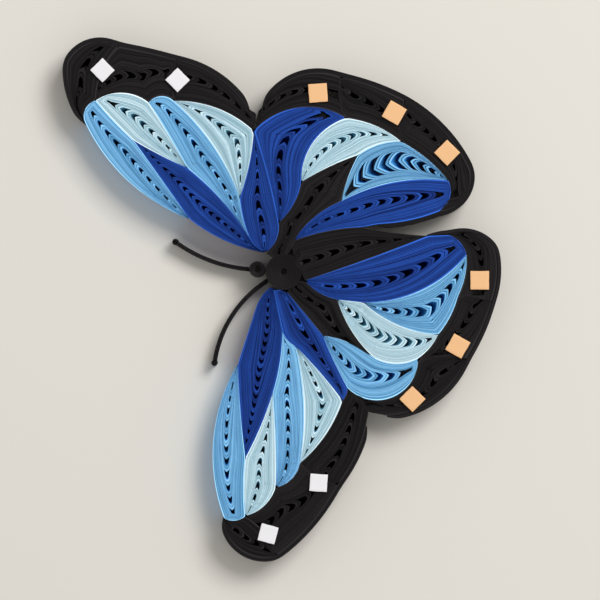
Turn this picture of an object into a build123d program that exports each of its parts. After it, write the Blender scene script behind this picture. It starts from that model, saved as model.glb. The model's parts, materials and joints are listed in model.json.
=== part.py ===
"""Quilled paper butterfly: rolled paper strips standing on edge, pressed to shape and glued side by side.

It lies flat on its glued underside, at z = 0, with its head towards +Y. The origin is on the thorax,
between the roots of the four wings. Every coil shares its outline with its neighbours, so the seams are
drawn once and each coil is the area between its own seams, as tall as the strip is wide.
"""

import os
from types import SimpleNamespace

from build123d import *

# Driving dimensions, in millimetres
wingspan = 47.0  # across the tips of the two forewings, rims included
pattern_span = 46.26  # from rim to rim, as the points of the seams below are written
strip_width = 3.0  # the paper strip, which stands on edge
paper = 0.13  # thickness of the strip

rim_turns = 3  # turns of black strip round the margin of a wing
thorax_radius = 1.55
head_radius = 0.7
coil_eye_radius = 0.2  # what the rolling needle leaves in the middle of a tight coil

antenna_layers = 3  # the strip of an antenna is laid threefold
antenna_height = 1.5
antenna_tip_radius = 0.28

white_square_side = 1.5
apricot_square_side = 1.6
square_thickness = 0.25

# The openings that the turns of a coil leave where they bend round one another, as shares of their pitch
opening_length = 0.7
opening_spread = 0.42  # as a share of the room on each side

rim_thickness = rim_turns * paper
pattern_scale = (wingspan - 2 * rim_thickness) / pattern_span
antenna_thickness = antenna_layers * paper

os.makedirs("parts", exist_ok=True)
pieces = {}


def seam(*points):
    """A line of the pattern: straight through two points, else arcs in a row, each through three."""
    spots = [Vector(*point) * pattern_scale for point in points]
    if len(spots) == 2:
        return Line(*spots)
    arcs = [ThreePointArc(*spots[first : first + 3]) for first in range(0, len(spots) - 1, 2)]
    return Wire(arcs)


def edges_of(lines):
    return [edge for line in lines for edge in line.edges()]


def turn_openings(turns, sides):
    """Corners of each pointed opening along the middle line of the turns, from root to tip."""
    *line_points, count = turns
    line = seam(*line_points)
    pitches = count - 1 + opening_length
    for number in range(count):
        foot = line.position_at(number / pitches)
        bend = line.position_at((number + opening_length) / pitches)
        room = min(side.distance_to(foot) for side in sides)
        across = (bend - foot).normalized().rotate(Axis.Z, 90) * room * opening_spread
        yield bend, foot + across, foot - across


def coil(label, sides, turns, round_thorax=False):
    """A pressed coil between its seams, with the openings of its turns."""
    with BuildPart() as pressed_coil:
        with BuildSketch():
            with BuildLine():
                add(edges_of(sides))
            make_face()
            for corners in turn_openings(turns, sides):
                with BuildLine():
                    Polyline(*corners, close=True)
                make_face(mode=Mode.SUBTRACT)
            if round_thorax:
                with Locations(thorax_place):
                    Circle(thorax_radius, mode=Mode.SUBTRACT)
        extrude(amount=strip_width)
    keep(label, pressed_coil.part)


def rim(label, seams, outward):
    """The black strip wound round the outside of a wing's margin, outward of the seams in a row."""
    with BuildPart() as wound_rim:
        with BuildSketch():
            with BuildLine():
                add(edges_of(seams))
                offset(amount=rim_thickness, side=outward)
            make_face()
        extrude(amount=strip_width)
    keep(label, wound_rim.part)


def square(label, centre, angle, side):
    """A paper square that lies flat on the tops of the black coils."""
    with BuildPart() as paper_square:
        with BuildSketch(Plane.XY.offset(strip_width)):
            with Locations(Vector(*centre) * pattern_scale):
                Rectangle(side, side, rotation=angle)
        extrude(amount=square_thickness)
    keep(label, paper_square.part)


def tight_coil(label, place, radius):
    """A strip rolled tight round a needle and left round."""
    with BuildPart() as rolled_coil:
        with BuildSketch():
            with Locations(place):
                Circle(radius)
                Circle(coil_eye_radius, mode=Mode.SUBTRACT)
        extrude(amount=strip_width)
    keep(label, rolled_coil.part)


def antenna(label, *points):
    """A threefold strip on edge, from the body to its rolled tip."""
    line = seam(*points)
    with BuildPart() as folded_strip:
        with BuildSketch():
            trace(line.edges(), line_width=antenna_thickness)
            with Locations(line @ 1):
                Circle(antenna_tip_radius)
            with Locations(thorax_place):
                Circle(thorax_radius, mode=Mode.SUBTRACT)
            with Locations(head_place):
                Circle(head_radius, mode=Mode.SUBTRACT)
        extrude(amount=antenna_height)
    keep(label, folded_strip.part)


def keep(label, part):
    part.label = label
    pieces[label] = part


# Body: the abdomen is a pressed coil, and the thorax and the head are tight ones that touch
thorax_centre = (-0.85, -0.4)
thorax_place = Vector(*thorax_centre) * pattern_scale
head_direction = Vector(0.43, 0.9).normalized()
head_place = thorax_place + head_direction * (thorax_radius + head_radius)
tight_coil("thorax_coil", thorax_place, thorax_radius)
tight_coil("head_coil", head_place, head_radius)
antenna("right_antenna", (0.05, 1.5), (1.9, 4.8), (4.7, 7.4))
antenna("left_antenna", thorax_centre, (-2.4, 4.4), (-6.1, 7.8))

# Points where the wings and the body meet
right_cleft = (11.25, -2.1)
right_cleft_top = (12.6, -2.75)
right_wing_fork = (3.2, -1.4)
right_forewing_root = (1.2, 0.5)
right_hindwing_root = (1.35, -2.1)
abdomen_shoulder = (0.45, -7.9)
abdomen_tip = (-2.15, -12.9)
left_hindwing_root = (-2.15, -1.8)
left_wing_fork = (-7.05, -1.65)
left_cleft = (-11.95, -2.1)
left_cleft_top = (-14.5, -3.1)
left_forewing_front_root = (-1.6, 0.9)
left_forewing_rear_root = (-2.25, 0.05)

# Seams that the wings and the body share
right_wing_joint = seam(right_cleft, (7.45, -1.95), right_wing_fork)
right_cleft_seam = seam(right_cleft, right_cleft_top)
right_root_seam = seam(right_wing_fork, (1.95, -0.75), right_forewing_root)
right_front_spoke = seam(right_forewing_root, thorax_centre)
right_rear_spoke = seam(thorax_centre, right_hindwing_root)
abdomen_right_seam = seam(abdomen_shoulder, (1.15, -5.05), right_hindwing_root)
abdomen_left_seam = seam(left_hindwing_root, (-2.25, -7.4), abdomen_tip)
left_rear_spoke = seam(left_hindwing_root, thorax_centre)
left_front_spoke = seam(left_forewing_rear_root, thorax_centre)
left_wing_joint = seam(left_forewing_rear_root, (-4.6, -0.8), left_wing_fork)
left_outer_joint = seam(left_wing_fork, (-9.5, -1.8), left_cleft)
left_cleft_seam = seam(left_cleft, (-13.2, -2.45), left_cleft_top)

abdomen_sides = [
    abdomen_right_seam,
    seam(abdomen_shoulder, (-1.0, -10.45), abdomen_tip),
    abdomen_left_seam,
    left_rear_spoke,
    right_rear_spoke,
]
coil("abdomen_coil", abdomen_sides, [(-0.7, -2.6), (-0.9, -6.9), (-1.8, -11.35), 7], round_thorax=True)


def forewing(wing, at, lines, turns, outward):
    """Six coloured coils, three black ones in the margin and the rim of one forewing."""
    front_margin_seam = seam(at.front_notch, at.front_margin_bend, at.front_rim_joint)
    rear_margin_seam = seam(at.rear_notch, at.rear_margin_bend, at.rear_rim_joint)
    coils = {
        "front_coil": [lines.front_edge, lines.front_crown, lines.front_seam, lines.front_root_seam],
        "front_tip_coil": [
            lines.front_seam,
            lines.front_tip_crown,
            lines.front_middle_seam,
            lines.front_tip_foot,
        ],
        "middle_coil": [
            lines.front_middle_seam,
            lines.middle_crown,
            lines.rear_middle_seam,
            lines.rear_root_seam,
            lines.middle_root_seam,
        ],
        "rear_tip_coil": [lines.rear_middle_seam, lines.rear_tip_crown, lines.rear_tip_seam],
        "front_root_coil": [
            lines.root_edge,
            lines.front_root_seam,
            lines.front_tip_foot,
            lines.middle_root_seam,
            lines.root_seam,
        ],
        "rear_root_coil": [lines.root_seam, lines.rear_root_seam, lines.rear_tip_seam, *lines.body_side],
        "front_margin_coil": [lines.front_crown, front_margin_seam, lines.front_rim_line],
        "middle_margin_coil": [
            front_margin_seam,
            lines.front_tip_crown,
            lines.middle_crown,
            rear_margin_seam,
            lines.middle_rim_line,
        ],
        "rear_margin_coil": [
            rear_margin_seam,
            lines.rear_tip_crown,
            lines.rear_rim_line,
            *lines.margin_end,
        ],
    }
    for name, sides in coils.items():
        coil(f"{wing}_{name}", sides, turns[name], round_thorax="root" in name)
    rim(f"{wing}_rim", [lines.front_rim_line, lines.middle_rim_line, lines.rear_rim_line], outward)


# Right forewing: where its seams meet
rf = SimpleNamespace(
    front_end=(16.75, 11.1),
    front_notch=(18.25, 9.6),
    middle_notch=(16.55, 5.45),
    rear_notch=(15.95, 3.4),
    front_fork=(13.95, 7.75),
    middle_fork=(10.25, 4.3),
    rear_fork=(6.35, 0.95),
    root_fork=(2.85, 1.35),
    front_foot=(6.1, 5.6),
    front_margin_bend=(20.4, 8.25),
    front_rim_joint=(21.9, 6.25),
    rear_margin_bend=(17.55, 2.9),
    rear_rim_joint=(19.15, 2.0),
    rim_end=(13.2, -2.3),
)
rf_lines = SimpleNamespace(
    front_edge=seam(rf.front_end, (10.55, 9.2), rf.front_foot),
    root_edge=seam(rf.front_foot, (3.25, 3.3), right_forewing_root),
    front_crown=seam(rf.front_end, (17.95, 10.6), rf.front_notch),
    front_tip_crown=seam(rf.front_notch, (18.05, 7.15), rf.middle_notch),
    middle_crown=seam(rf.middle_notch, (16.7, 4.25), rf.rear_notch),
    rear_tip_crown=seam(rf.rear_notch, (14.15, 0.2), right_cleft),
    front_seam=seam(rf.front_notch, (15.95, 8.7), rf.front_fork),
    front_root_seam=seam(rf.front_fork, (10.2, 6.7), rf.front_foot),
    front_tip_foot=seam(rf.front_fork, (12.05, 6.1), rf.middle_fork),
    front_middle_seam=seam(rf.middle_notch, (13.55, 4.85), rf.middle_fork),
    middle_root_seam=seam(rf.middle_fork, (6.85, 2.55), rf.root_fork),
    rear_middle_seam=seam(rf.rear_notch, (11.45, 1.6), rf.rear_fork),
    rear_root_seam=seam(rf.rear_fork, (4.65, 1.3), rf.root_fork),
    rear_tip_seam=seam(rf.rear_fork, (8.55, -0.65), right_cleft),
    root_seam=seam(rf.root_fork, (1.95, 1.1), right_forewing_root),
    front_rim_line=seam(rf.front_end, (19.4, 11.45), (22.1, 10.8), (23.0, 8.9), rf.front_rim_joint),
    middle_rim_line=seam(rf.front_rim_joint, (20.6, 4.1), rf.rear_rim_joint),
    rear_rim_line=seam(rf.rear_rim_joint, (16.3, -1.0), rf.rim_end),
    body_side=[right_root_seam, right_wing_joint],
    margin_end=[right_cleft_seam, seam(rf.rim_end, right_cleft_top)],
)
rf_turns = {
    "front_coil": [(6.7, 5.95), (12.25, 8.4), (17.15, 10.15), 11],
    "front_tip_coil": [(10.75, 4.55), (14.8, 6.4), (18.05, 8.85), 9],
    "middle_coil": [(4.5, 1.6), (11.1, 2.65), (16.0, 4.65), 11],
    "rear_tip_coil": [(6.9, 0.75), (11.5, -0.05), (15.0, 2.4), 9],
    "front_root_coil": [(2.25, 1.4), (7.1, 4.35), (12.75, 7.0), 8],
    "rear_root_coil": [(1.85, 0.45), (6.2, -0.7), (9.7, -1.7), 7],
    "front_margin_coil": [(18.6, 10.85), (20.9, 10.2), (21.95, 8.0), 3],
    "middle_margin_coil": [(19.1, 8.25), (19.45, 5.4), (18.35, 3.3), 2],
    "rear_margin_coil": [(17.95, 2.1), (15.7, -0.4), (12.95, -2.05), 3],
}
forewing("right_forewing", rf, rf_lines, rf_turns, outward=Side.LEFT)
square("right_forewing_front_square", (20.45, 8.2), 25, white_square_side)
square("right_forewing_rear_square", (17.5, 2.5), 25, white_square_side)

# Left forewing: where its seams meet
lf = SimpleNamespace(
    front_end=(-18.75, 11.5),
    front_notch=(-19.2, 9.75),
    middle_notch=(-17.8, 6.5),
    rear_notch=(-16.55, 3.85),
    rear_end=(-12.8, -1.35),
    front_fork=(-14.55, 8.05),
    middle_fork=(-10.25, 4.05),
    rear_fork=(-7.15, 0.8),
    root_fork=(-5.55, 1.45),
    front_foot=(-6.85, 5.95),
    front_margin_bend=(-21.05, 8.7),
    front_rim_joint=(-23.25, 8.45),
    rear_margin_bend=(-18.25, 2.8),
    rear_rim_joint=(-19.35, 1.5),
    rim_end=(-15.55, -2.45),
)
lf_cleft_joint = seam(left_cleft, (-12.45, -1.8), lf.rear_end)
lf_lines = SimpleNamespace(
    front_edge=seam(lf.front_foot, (-12.2, 10.1), lf.front_end),
    root_edge=seam(left_forewing_front_root, (-1.95, 1.8), (-2.75, 2.75), (-4.75, 4.3), lf.front_foot),
    front_crown=seam(lf.front_end, (-19.25, 10.7), lf.front_notch),
    front_tip_crown=seam(lf.front_notch, (-18.95, 8.0), lf.middle_notch),
    middle_crown=seam(lf.middle_notch, (-17.6, 5.0), lf.rear_notch),
    rear_tip_crown=seam(lf.rear_notch, (-14.9, 0.8), lf.rear_end),
    front_seam=seam(lf.front_notch, (-16.8, 9.0), lf.front_fork),
    front_root_seam=seam(lf.front_fork, (-10.7, 7.1), lf.front_foot),
    front_tip_foot=seam(lf.front_fork, (-12.4, 5.85), lf.middle_fork),
    front_middle_seam=seam(lf.middle_notch, (-14.0, 5.15), lf.middle_fork),
    middle_root_seam=seam(lf.middle_fork, (-8.05, 2.6), lf.root_fork),
    rear_middle_seam=seam(lf.rear_notch, (-11.85, 1.8), lf.rear_fork),
    rear_root_seam=seam(lf.rear_fork, (-6.4, 1.3), lf.root_fork),
    rear_tip_seam=seam(lf.rear_fork, (-9.85, -0.35), lf.rear_end),
    root_seam=seam(lf.root_fork, (-3.6, 1.15), left_forewing_front_root),
    front_rim_line=seam(lf.front_end, (-21.75, 11.1), lf.front_rim_joint),
    middle_rim_line=seam(lf.front_rim_joint, (-21.6, 4.55), lf.rear_rim_joint),
    rear_rim_line=seam(lf.rear_rim_joint, (-17.45, -0.9), lf.rim_end),
    body_side=[
        seam(left_forewing_front_root, thorax_centre),
        left_front_spoke,
        left_wing_joint,
        left_outer_joint,
        lf_cleft_joint,
    ],
    margin_end=[lf_cleft_joint, left_cleft_seam, seam(left_cleft_top, lf.rim_end)],
)
# Two of its coils have their roots at the margin, so their openings point to the body
lf_turns = {
    "front_coil": [(-7.6, 6.5), (-12.85, 9.2), (-18.35, 10.7), 11],
    "front_tip_coil": [(-18.65, 9.0), (-15.0, 6.7), (-10.95, 4.4), 9],
    "middle_coil": [(-17.25, 5.6), (-12.35, 3.35), (-6.5, 1.5), 11],
    "rear_tip_coil": [(-7.85, 0.75), (-12.15, 0.5), (-15.7, 2.85), 9],
    "front_root_coil": [(-2.25, 1.45), (-7.35, 3.95), (-12.4, 7.0), 8],
    "rear_root_coil": [(-2.75, 0.3), (-7.0, -0.6), (-11.35, -1.3), 7],
    "front_margin_coil": [(-19.45, 11.1), (-21.15, 10.45), (-22.2, 8.95), 2],
    "middle_margin_coil": [(-20.15, 8.4), (-19.65, 5.3), (-19.05, 2.85), 3],
    "rear_margin_coil": [(-17.95, 1.9), (-15.85, -0.7), (-13.6, -2.05), 3],
}
forewing("left_forewing", lf, lf_lines, lf_turns, outward=Side.RIGHT)
square("left_forewing_front_square", (-21.25, 8.45), 55, white_square_side)
square("left_forewing_rear_square", (-18.65, 2.95), 66, white_square_side)

# Right hindwing: where its seams meet, then the seams
rh = SimpleNamespace(
    front_notch=(9.6, -9.8),
    middle_notch=(6.15, -13.5),
    rear_notch=(1.65, -16.15),
    front_fork=(5.8, -4.4),
    inner_tip=(6.3, -9.7),
    rear_fork=(3.1, -7.05),
    rear_margin_end=(-0.55, -14.5),
    rim_end=(0.2, -9.35),
    rim_start=(12.85, -3.55),
    front_rim_joint=(13.0, -10.6),
    rear_rim_joint=(9.35, -15.0),
)
rh_front_crown = seam(right_cleft, (11.8, -6.3), rh.front_notch)
rh_front_tip_crown = seam(rh.front_notch, (8.25, -11.8), rh.middle_notch)
rh_middle_crown = seam(rh.middle_notch, (4.05, -15.05), rh.rear_notch)
rh_rear_crown = seam(rh.rear_notch, (0.3, -15.8), rh.rear_margin_end)
rh_front_seam = seam(rh.front_fork, (8.8, -6.75), rh.front_notch)
rh_inner_front_seam = seam(rh.front_fork, (4.5, -3.4), right_wing_fork)
rh_front_tip_foot = seam(rh.inner_tip, (6.2, -7.05), rh.front_fork)
rh_middle_seam = seam(rh.middle_notch, (6.55, -11.65), rh.inner_tip)
rh_inner_middle_seam = seam(rh.inner_tip, (4.7, -8.15), rh.rear_fork)
rh_rear_seam = seam(rh.rear_fork, (3.1, -11.7), rh.rear_notch)
rh_inner_rear_seam = seam(rh.rear_fork, (2.65, -4.5), right_hindwing_root)
rh_rear_edge = seam(rh.rear_margin_end, (-0.4, -11.9), rh.rim_end)
rh_shoulder_edge = seam(rh.rim_end, abdomen_shoulder)
rh_front_rim_line = seam(rh.rim_start, (14.35, -7.05), rh.front_rim_joint)
rh_middle_rim_line = seam(rh.front_rim_joint, (11.35, -12.9), rh.rear_rim_joint)
rh_rear_rim_line = seam(rh.rear_rim_joint, (5.6, -17.3), (1.9, -18.2), (-0.15, -16.9), rh.rear_margin_end)
rh_front_margin_seam = seam(rh.front_notch, (11.4, -9.8), rh.front_rim_joint)
rh_rear_margin_seam = seam(rh.middle_notch, (7.9, -13.95), rh.rear_rim_joint)
rh_margin_start = seam(rh.rim_start, right_cleft_top)

rh_coils = {
    "front_root_coil": [rh_front_crown, rh_front_seam, rh_inner_front_seam, right_wing_joint],
    "front_tip_coil": [rh_front_tip_crown, rh_middle_seam, rh_front_tip_foot, rh_front_seam],
    "middle_coil": [rh_middle_crown, rh_rear_seam, rh_inner_middle_seam, rh_middle_seam],
    "rear_root_coil": [
        rh_rear_seam,
        rh_rear_crown,
        rh_rear_edge,
        rh_shoulder_edge,
        abdomen_right_seam,
        rh_inner_rear_seam,
    ],
    "inner_coil": [
        right_root_seam,
        right_front_spoke,
        right_rear_spoke,
        rh_inner_rear_seam,
        rh_inner_middle_seam,
        rh_front_tip_foot,
        rh_inner_front_seam,
    ],
    "front_margin_coil": [
        right_cleft_seam,
        rh_margin_start,
        rh_front_rim_line,
        rh_front_margin_seam,
        rh_front_crown,
    ],
    "middle_margin_coil": [
        rh_front_margin_seam,
        rh_middle_rim_line,
        rh_rear_margin_seam,
        rh_front_tip_crown,
    ],
    "rear_margin_coil": [rh_rear_margin_seam, rh_rear_rim_line, rh_rear_crown, rh_middle_crown],
}
rh_turns = {
    "front_root_coil": [(3.75, -1.7), (8.25, -3.65), (10.5, -6.6), 7],
    "front_tip_coil": [(6.4, -5.05), (8.05, -8.65), (7.15, -12.15), 9],
    "middle_coil": [(2.2, -15.8), (4.7, -12.2), (3.95, -8.45), 8],
    "rear_root_coil": [(1.7, -3.1), (2.05, -9.4), (0.75, -14.75), 10],
    "inner_coil": [(1.15, -1.1), (4.5, -4.8), (5.75, -8.4), 6],
    "front_margin_coil": [(12.65, -3.7), (13.4, -5.8), (11.9, -9.25), 3],
    "middle_margin_coil": [(11.7, -10.5), (10.15, -12.2), (8.25, -13.5), 2],
    "rear_margin_coil": [(8.2, -14.7), (4.8, -16.55), (0.7, -16.8), 3],
}
for name, sides in rh_coils.items():
    coil(f"right_hindwing_{name}", sides, rh_turns[name], round_thorax=name == "inner_coil")
rim(
    "right_hindwing_rim",
    [rh_front_rim_line, rh_middle_rim_line, rh_rear_rim_line, rh_rear_edge],
    outward=Side.LEFT,
)
square("right_hindwing_front_square", (12.4, -8.3), 74, apricot_square_side)
square("right_hindwing_middle_square", (8.6, -13.8), 40, apricot_square_side)
square("right_hindwing_rear_square", (3.9, -16.85), 25, apricot_square_side)

# Left hindwing: where its seams meet, then the seams
lh = SimpleNamespace(
    margin_start=(-2.7, -14.6),
    rear_notch=(-4.8, -15.45),
    side_notch=(-7.85, -13.55),
    middle_notch=(-10.35, -10.85),
    front_notch=(-11.65, -8.55),
    rear_fork=(-5.6, -5.85),
    inner_rear_fork=(-4.6, -3.85),
    inner_tip=(-10.25, -5.05),
    rear_rim_joint=(-9.25, -16.05),
    front_rim_joint=(-13.05, -12.4),
    rim_end=(-15.3, -4.45),
)
lh_rear_edge = seam(abdomen_tip, lh.margin_start)
lh_rear_crown = seam(lh.margin_start, (-3.65, -15.3), lh.rear_notch)
lh_rear_tip_crown = seam(lh.rear_notch, (-6.45, -14.7), lh.side_notch)
lh_side_crown = seam(lh.side_notch, (-9.25, -12.35), lh.middle_notch)
lh_middle_crown = seam(lh.middle_notch, (-11.15, -9.8), lh.front_notch)
lh_front_crown = seam(lh.front_notch, (-14.0, -5.4), left_cleft)
lh_rear_seam = seam(lh.rear_notch, (-6.2, -11.55), lh.rear_fork)
lh_rear_foot = seam(lh.rear_fork, lh.inner_rear_fork)
lh_inner_rear_seam = seam(lh.inner_rear_fork, (-3.6, -2.65), left_hindwing_root)
lh_middle_seam = seam(lh.middle_notch, (-8.5, -8.05), lh.rear_fork)
lh_front_seam = seam(lh.front_notch, (-11.4, -6.6), lh.inner_tip)
lh_inner_middle_seam = seam(lh.inner_tip, (-7.4, -4.05), lh.inner_rear_fork)
lh_inner_front_seam = seam(lh.inner_tip, (-8.5, -3.7), left_wing_fork)
lh_rear_rim_line = seam(lh.margin_start, (-3.55, -16.9), (-5.1, -17.85), (-6.95, -17.4), lh.rear_rim_joint)
lh_middle_rim_line = seam(lh.rear_rim_joint, (-11.15, -14.5), lh.front_rim_joint)
lh_front_rim_line = seam(lh.front_rim_joint, (-15.35, -8.75), lh.rim_end)
lh_rear_margin_seam = seam(lh.side_notch, (-8.3, -14.9), lh.rear_rim_joint)
lh_front_margin_seam = seam(lh.front_notch, (-12.05, -10.6), lh.front_rim_joint)
lh_margin_end = seam(lh.rim_end, left_cleft_top)

lh_coils = {
    "rear_root_coil": [
        lh_rear_edge,
        lh_rear_crown,
        lh_rear_seam,
        lh_rear_foot,
        lh_inner_rear_seam,
        abdomen_left_seam,
    ],
    "rear_tip_coil": [lh_rear_tip_crown, lh_side_crown, lh_middle_seam, lh_rear_seam],
    "middle_coil": [lh_middle_seam, lh_middle_crown, lh_front_seam, lh_inner_middle_seam, lh_rear_foot],
    "front_tip_coil": [lh_front_seam, lh_front_crown, left_outer_joint, lh_inner_front_seam],
    "inner_coil": [
        left_front_spoke,
        left_wing_joint,
        lh_inner_front_seam,
        lh_inner_middle_seam,
        lh_inner_rear_seam,
        left_rear_spoke,
    ],
    "rear_margin_coil": [lh_rear_crown, lh_rear_tip_crown, lh_rear_margin_seam, lh_rear_rim_line],
    "middle_margin_coil": [
        lh_rear_margin_seam,
        lh_side_crown,
        lh_middle_crown,
        lh_front_margin_seam,
        lh_middle_rim_line,
    ],
    "front_margin_coil": [
        lh_front_margin_seam,
        lh_front_crown,
        left_cleft_seam,
        lh_margin_end,
        lh_front_rim_line,
    ],
}
lh_turns = {
    "rear_root_coil": [(-2.7, -2.4), (-4.5, -7.95), (-3.8, -14.2), 9],
    "rear_tip_coil": [(-6.15, -6.7), (-7.85, -10.25), (-5.65, -14.55), 9],
    "middle_coil": [(-5.05, -4.3), (-8.6, -6.3), (-10.45, -9.85), 10],
    "front_tip_coil": [(-7.6, -2.0), (-11.35, -3.9), (-12.1, -7.7), 9],
    "inner_coil": [(-2.9, -1.15), (-6.2, -2.9), (-8.8, -4.1), 6],
    "rear_margin_coil": [(-3.75, -15.85), (-5.5, -16.6), (-8.0, -15.25), 3],
    "middle_margin_coil": [(-8.8, -14.9), (-10.6, -12.95), (-11.45, -10.5), 2],
    "front_margin_coil": [(-13.0, -11.15), (-14.7, -7.75), (-14.45, -3.85), 3],
}
for name, sides in lh_coils.items():
    coil(f"left_hindwing_{name}", sides, lh_turns[name], round_thorax=name == "inner_coil")
rim(
    "left_hindwing_rim",
    [lh_rear_edge, lh_rear_rim_line, lh_middle_rim_line, lh_front_rim_line],
    outward=Side.LEFT,
)
square("left_hindwing_rear_square", (-7.2, -15.75), 70, apricot_square_side)
square("left_hindwing_middle_square", (-11.8, -12.1), 40, apricot_square_side)
square("left_hindwing_front_square", (-14.7, -6.95), 25, apricot_square_side)

for label, part in pieces.items():
    export_step(part, f"parts/{label}.step")
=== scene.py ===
# %% [markdown]
# # A quilled paper butterfly
# Quilling is rolled paper: a narrow strip is wound into a coil, pinched to a leaf or a wedge, stood on
# its edge and glued beside the next one. Seen from above, a coil is a bundle of thin paper edges, with
# a row of small dark gaps along its middle where each turn bends round the one inside it. The packed
# model gives every coil as a plain block with the right outline. This lesson dresses each block as the
# wound strip that it stands for, so the first step is to load the blocks and keep their box.

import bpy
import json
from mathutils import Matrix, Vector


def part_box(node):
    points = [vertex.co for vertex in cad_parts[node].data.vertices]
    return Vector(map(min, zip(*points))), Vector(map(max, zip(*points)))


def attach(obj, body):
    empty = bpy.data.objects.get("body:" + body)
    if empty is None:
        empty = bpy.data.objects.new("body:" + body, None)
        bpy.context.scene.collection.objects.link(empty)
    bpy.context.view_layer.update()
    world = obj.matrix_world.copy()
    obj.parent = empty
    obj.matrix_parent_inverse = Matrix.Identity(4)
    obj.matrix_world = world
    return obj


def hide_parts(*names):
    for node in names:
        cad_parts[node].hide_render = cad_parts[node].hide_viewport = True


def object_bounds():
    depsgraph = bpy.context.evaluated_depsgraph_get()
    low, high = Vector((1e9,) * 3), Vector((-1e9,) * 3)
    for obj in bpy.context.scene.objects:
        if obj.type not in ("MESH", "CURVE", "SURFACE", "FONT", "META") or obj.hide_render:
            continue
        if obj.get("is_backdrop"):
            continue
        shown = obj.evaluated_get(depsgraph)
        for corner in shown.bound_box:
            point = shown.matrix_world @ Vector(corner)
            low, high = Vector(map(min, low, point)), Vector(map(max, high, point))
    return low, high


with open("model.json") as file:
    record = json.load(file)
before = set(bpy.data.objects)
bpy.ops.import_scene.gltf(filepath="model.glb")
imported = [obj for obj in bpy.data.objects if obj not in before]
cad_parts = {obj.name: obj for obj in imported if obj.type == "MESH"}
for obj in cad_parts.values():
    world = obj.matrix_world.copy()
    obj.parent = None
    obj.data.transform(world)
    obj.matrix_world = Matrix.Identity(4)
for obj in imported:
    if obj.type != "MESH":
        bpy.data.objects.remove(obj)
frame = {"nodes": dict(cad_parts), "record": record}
model_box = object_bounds()
print("pieces in the frame:", len(frame["nodes"]))

# %% [markdown]
# ## Tools
# The meshes are made with bmesh. Whole lines of points are worked out at once with numpy, which is
# shorter to read than loops over single points. Handwork is never quite even, so some values get a
# little chance, and the fixed seed gives the same butterfly each time.

# %% Import the tools
import json
import math
import random
from types import SimpleNamespace

import bmesh
import bpy
import numpy as np
from mathutils import Matrix, Vector, noise

dice = random.Random(7)
print("Blender", bpy.app.version_string)

# %% [markdown]
# ## Sizes
# Blender works in metres, and paper craft in fractions of a millimetre, so one name holds the
# millimetre. The strip is as wide as the coils are tall. No two turns are pushed down to quite the same
# height, and that unevenness lets the light draw each paper edge, so it gets a named value too.

# %% Sizes of the strip
mm = 0.001
paper = 0.13 * mm
strip_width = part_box("thorax_coil")[1].z
unevenness = 0.12 * mm  # how far the top of a strip may lie under the full height
sag_length = 1.8 * mm  # from one low spot of a strip's top to the next, about
glue_line = 0.012 * mm  # left free between two coils
tiny = 0.001 * mm  # less than anything that is seen or cut
print("strip is %.1f mm wide and %.2f mm thick" % (strip_width / mm, paper / mm))

# %% [markdown]
# ## Reading a coil's outline
# Each block has the outline of its coil, and pointed openings that show which way its turns run. A
# block's mesh is loose triangles, so a copy is merged first. The faces on top are found by their
# normals. An edge that belongs to only one of them is on a boundary, and walking along such edges gives
# closed lines: the longest is the outline, and the others are the openings.

# %% Boundary lines of a block's top
facing_up = 0.9  # the least upward share of a face's normal, if the face is on top


def run_of(points):
    """The length of a line."""
    return np.hypot(*np.diff(points, axis=0).T).sum()


def top_lines(node):
    """The closed lines round the top of a block, longest first, as arrays of points."""
    bm = bmesh.new()
    bm.from_mesh(frame["nodes"][node].data)
    bmesh.ops.remove_doubles(bm, verts=bm.verts, dist=tiny)
    near_top = max(vert.co.z for vert in bm.verts) - 10 * tiny
    upward = [face for face in bm.faces if face.normal.z > facing_up]
    lid = {face for face in upward if face.calc_center_median().z > near_top}
    border = [edge for edge in bm.edges if sum(face in lid for face in edge.link_faces) == 1]
    lines = []
    while border:
        first, here = border.pop().verts
        line = [first]
        while here is not first:
            line.append(here)
            edge = next(edge for edge in border if here in edge.verts)
            border.remove(edge)
            here = edge.other_vert(here)
        lines.append(np.array([vert.co.xy for vert in line]))
    bm.free()
    return sorted(lines, key=run_of, reverse=True)


print("openings in the abdomen:", len(top_lines("abdomen_coil")) - 1)

# %% [markdown]
# ## Root and tip
# All the turns of a pressed coil start at its root, where they are pinched together, and point to its
# tip. Each opening is a small triangle. Its bend points to the tip, and its foot lies towards the root,
# so the row of openings gives the heading. The ends of the row, carried on to the outline, give root
# and tip. Where a corner is near such a place, the corner was the pinch, so it is taken instead.


# %% Which way an opening points
def pointed_end(opening):
    """The bend of a triangular opening, where its two longer sides meet, and the middle of its foot."""
    unlikeness = []
    for i in range(3):
        one_side, other_side = (math.dist(opening[i], opening[i - step]) for step in (1, 2))
        unlikeness.append(abs(one_side - other_side))
    bend = unlikeness.index(min(unlikeness))
    return SimpleNamespace(bend=opening[bend], foot=(opening[bend - 1] + opening[bend - 2]) / 2)


def corner_at(outline, index):
    """How sharply the outline turns at a point, in radians."""
    before = Vector(outline[index] - outline[index - 1])
    after = Vector(outline[(index + 1) % len(outline)] - outline[index])
    return abs(before.angle_signed(after, 0.0))


outline, *openings = top_lines("abdomen_coil")
ends = [pointed_end(opening) for opening in openings]
heading = sum(end.bend - end.foot for end in ends)
print("the abdomen's openings point along", heading / np.linalg.norm(heading))

# %% Where a heading meets the outline
corner_reach = 0.5 * mm  # a corner this near to the end of a row is the pinch
sharp = 0.5  # radians, by which an outline turns at a corner


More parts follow.
